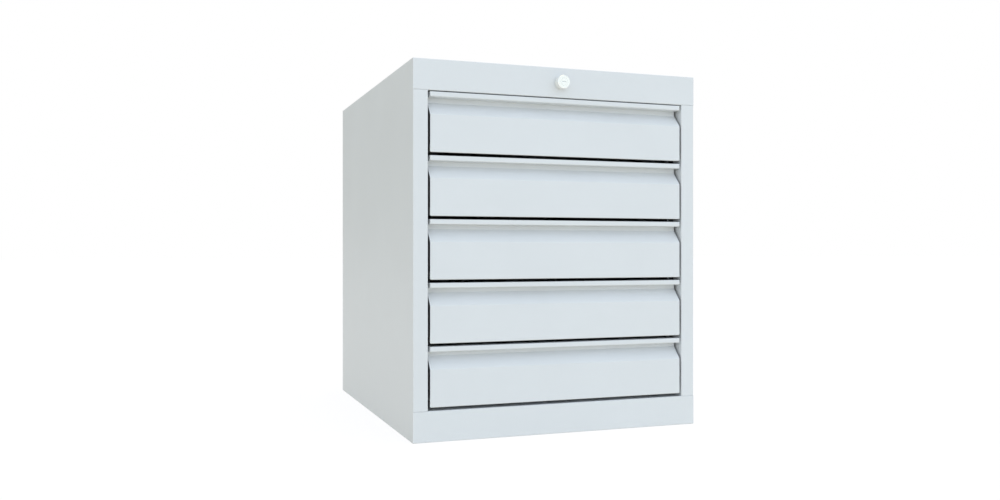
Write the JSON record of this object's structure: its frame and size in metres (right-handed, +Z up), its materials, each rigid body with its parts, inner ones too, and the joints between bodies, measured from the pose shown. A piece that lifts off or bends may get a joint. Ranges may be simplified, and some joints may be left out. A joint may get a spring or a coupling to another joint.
{
  "type": "drawer unit",
  "caption": "Low sheet-steel drawer unit with equal full-width drawers, folded grip lips under which the fingers go, ball slides and a central push lock in the top band.",
  "frame": {"origin": "on the floor, in the middle of the overall width and depth, the push lock included", "axes": "+Z up, drawers open towards -Y, +X to the right seen from the front"},
  "size_m": [0.5, 0.613, 0.6],
  "materials": {
    "case_paint": "satin powder coat",
    "front_paint": "satin powder coat",
    "tray_paint": "satin powder coat",
    "slide_zinc": "bright zinc plate",
    "cage_steel": "dull zinc plate",
    "bare_steel": "zinc plate",
    "lock_steel": "die cast, nickel plate",
    "lock_face": "bright, satin nickel plate"
  },
  "bodies": {
    "root": {"left_side_panel": "case_paint", "right_side_panel": "case_paint", "top_panel": "case_paint", "base_panel": "case_paint", "back_panel": "case_paint", "front_posts": "bare_steel", "rear_posts": "bare_steel", "base_gussets": "bare_steel", "lock_housing": "lock_steel", "lock_nuts": "bare_steel", "crank_bracket": "bare_steel", "bar_guides": "bare_steel", "drawer_1_outer_slides": "slide_zinc", "drawer_2_outer_slides": "slide_zinc", "drawer_3_outer_slides": "slide_zinc", "drawer_4_outer_slides": "slide_zinc", "drawer_5_outer_slides": "slide_zinc"},
    "lock_barrel": {"lock_barrel": "lock_face", "lock_rod": "bare_steel"},
    "lock_plug": {"lock_plug": "lock_face"},
    "lock_crank": {"lock_crank": "bare_steel"},
    "lock_bar": {"lock_bar": "bare_steel"},
    "drawer_1": {"drawer_1_front": "front_paint", "drawer_1_tray": "tray_paint", "drawer_1_catch": "bare_steel", "drawer_1_inner_slides": "slide_zinc"},
    "drawer_1_middle": {"drawer_1_middle_slides": "slide_zinc"},
    "drawer_1_outer_cage": {"drawer_1_outer_cages": "cage_steel"},
    "drawer_1_inner_cage": {"drawer_1_inner_cages": "cage_steel"},
    "drawer_2": {"drawer_2_front": "front_paint", "drawer_2_tray": "tray_paint", "drawer_2_catch": "bare_steel", "drawer_2_inner_slides": "slide_zinc"},
    "drawer_2_middle": {"drawer_2_middle_slides": "slide_zinc"},
    "drawer_2_outer_cage": {"drawer_2_outer_cages": "cage_steel"},
    "drawer_2_inner_cage": {"drawer_2_inner_cages": "cage_steel"},
    "drawer_3": {"drawer_3_front": "front_paint", "drawer_3_tray": "tray_paint", "drawer_3_catch": "bare_steel", "drawer_3_inner_slides": "slide_zinc"},
    "drawer_3_middle": {"drawer_3_middle_slides": "slide_zinc"},
    "drawer_3_outer_cage": {"drawer_3_outer_cages": "cage_steel"},
    "drawer_3_inner_cage": {"drawer_3_inner_cages": "cage_steel"},
    "drawer_4": {"drawer_4_front": "front_paint", "drawer_4_tray": "tray_paint", "drawer_4_catch": "bare_steel", "drawer_4_inner_slides": "slide_zinc"},
    "drawer_4_middle": {"drawer_4_middle_slides": "slide_zinc"},
    "drawer_4_outer_cage": {"drawer_4_outer_cages": "cage_steel"},
    "drawer_4_inner_cage": {"drawer_4_inner_cages": "cage_steel"},
    "drawer_5": {"drawer_5_front": "front_paint", "drawer_5_tray": "tray_paint", "drawer_5_catch": "bare_steel", "drawer_5_inner_slides": "slide_zinc"},
    "drawer_5_middle": {"drawer_5_middle_slides": "slide_zinc"},
    "drawer_5_outer_cage": {"drawer_5_outer_cages": "cage_steel"},
    "drawer_5_inner_cage": {"drawer_5_inner_cages": "cage_steel"}
  },
  "joints": [
    {"name": "lock_push", "type": "slide", "parent": "root", "child": "lock_barrel", "axis": [0, 1, 0], "range_m": [0, 0.009], "stiffness_N_per_m": 300, "springref_m": -0.01},
    {"name": "lock_key", "type": "hinge", "parent": "lock_barrel", "child": "lock_plug", "pos_m": [0, -0.2935, 0.5755], "axis": [0, 1, 0], "range_deg": [0, 90]},
    {"name": "crank_turn", "type": "hinge", "parent": "root", "child": "lock_crank", "pos_m": [0, 0.2845, 0.545], "axis": [1, 0, 0], "range_deg": [-17, 0]},
    {"name": "bar_lift", "type": "slide", "parent": "root", "child": "lock_bar", "axis": [0, 0, 1], "range_m": [0, 0.0088]},
    {"name": "drawer_1", "type": "slide", "parent": "root", "child": "drawer_1", "axis": [0, -1, 0], "range_m": [0, 0.45]},
    {"name": "drawer_1_middle", "type": "slide", "parent": "root", "child": "drawer_1_middle", "axis": [0, -1, 0], "range_m": [0, 0.225]},
    {"name": "drawer_1_outer_cage", "type": "slide", "parent": "root", "child": "drawer_1_outer_cage", "axis": [0, -1, 0], "range_m": [0, 0.1125]},
    {"name": "drawer_1_inner_cage", "type": "slide", "parent": "root", "child": "drawer_1_inner_cage", "axis": [0, -1, 0], "range_m": [0, 0.3375]},
    {"name": "drawer_2", "type": "slide", "parent": "root", "child": "drawer_2", "axis": [0, -1, 0], "range_m": [0, 0.45]},
    {"name": "drawer_2_middle", "type": "slide", "parent": "root", "child": "drawer_2_middle", "axis": [0, -1, 0], "range_m": [0, 0.225]},
    {"name": "drawer_2_outer_cage", "type": "slide", "parent": "root", "child": "drawer_2_outer_cage", "axis": [0, -1, 0], "range_m": [0, 0.1125]},
    {"name": "drawer_2_inner_cage", "type": "slide", "parent": "root", "child": "drawer_2_inner_cage", "axis": [0, -1, 0], "range_m": [0, 0.3375]},
    {"name": "drawer_3", "type": "slide", "parent": "root", "child": "drawer_3", "axis": [0, -1, 0], "range_m": [0, 0.45]},
    {"name": "drawer_3_middle", "type": "slide", "parent": "root", "child": "drawer_3_middle", "axis": [0, -1, 0], "range_m": [0, 0.225]},
    {"name": "drawer_3_outer_cage", "type": "slide", "parent": "root", "child": "drawer_3_outer_cage", "axis": [0, -1, 0], "range_m": [0, 0.1125]},
    {"name": "drawer_3_inner_cage", "type": "slide", "parent": "root", "child": "drawer_3_inner_cage", "axis": [0, -1, 0], "range_m": [0, 0.3375]},
    {"name": "drawer_4", "type": "slide", "parent": "root", "child": "drawer_4", "axis": [0, -1, 0], "range_m": [0, 0.45]},
    {"name": "drawer_4_middle", "type": "slide", "parent": "root", "child": "drawer_4_middle", "axis": [0, -1, 0], "range_m": [0, 0.225]},
    {"name": "drawer_4_outer_cage", "type": "slide", "parent": "root", "child": "drawer_4_outer_cage", "axis": [0, -1, 0], "range_m": [0, 0.1125]},
    {"name": "drawer_4_inner_cage", "type": "slide", "parent": "root", "child": "drawer_4_inner_cage", "axis": [0, -1, 0], "range_m": [0, 0.3375]},
    {"name": "drawer_5", "type": "slide", "parent": "root", "child": "drawer_5", "axis": [0, -1, 0], "range_m": [0, 0.45]},
    {"name": "drawer_5_middle", "type": "slide", "parent": "root", "child": "drawer_5_middle", "axis": [0, -1, 0], "range_m": [0, 0.225]},
    {"name": "drawer_5_outer_cage", "type": "slide", "parent": "root", "child": "drawer_5_outer_cage", "axis": [0, -1, 0], "range_m": [0, 0.1125]},
    {"name": "drawer_5_inner_cage", "type": "slide", "parent": "root", "child": "drawer_5_inner_cage", "axis": [0, -1, 0], "range_m": [0, 0.3375]}
  ],
  "couplings": [
    {"joint": "crank_turn", "follows": "lock_push", "rad_per_m": -32.787},
    {"joint": "bar_lift", "follows": "lock_push", "ratio": 0.9777},
    {"joint": "drawer_1_middle", "follows": "drawer_1", "ratio": 0.5},
    {"joint": "drawer_1_outer_cage", "follows": "drawer_1", "ratio": 0.25},
    {"joint": "drawer_1_inner_cage", "follows": "drawer_1", "ratio": 0.75},
    {"joint": "drawer_2_middle", "follows": "drawer_2", "ratio": 0.5},
    {"joint": "drawer_2_outer_cage", "follows": "drawer_2", "ratio": 0.25},
    {"joint": "drawer_2_inner_cage", "follows": "drawer_2", "ratio": 0.75},
    {"joint": "drawer_3_middle", "follows": "drawer_3", "ratio": 0.5},
    {"joint": "drawer_3_outer_cage", "follows": "drawer_3", "ratio": 0.25},
    {"joint": "drawer_3_inner_cage", "follows": "drawer_3", "ratio": 0.75},
    {"joint": "drawer_4_middle", "follows": "drawer_4", "ratio": 0.5},
    {"joint": "drawer_4_outer_cage", "follows": "drawer_4", "ratio": 0.25},
    {"joint": "drawer_4_inner_cage", "follows": "drawer_4", "ratio": 0.75},
    {"joint": "drawer_5_middle", "follows": "drawer_5", "ratio": 0.5},
    {"joint": "drawer_5_outer_cage", "follows": "drawer_5", "ratio": 0.25},
    {"joint": "drawer_5_inner_cage", "follows": "drawer_5", "ratio": 0.75}
  ]
}
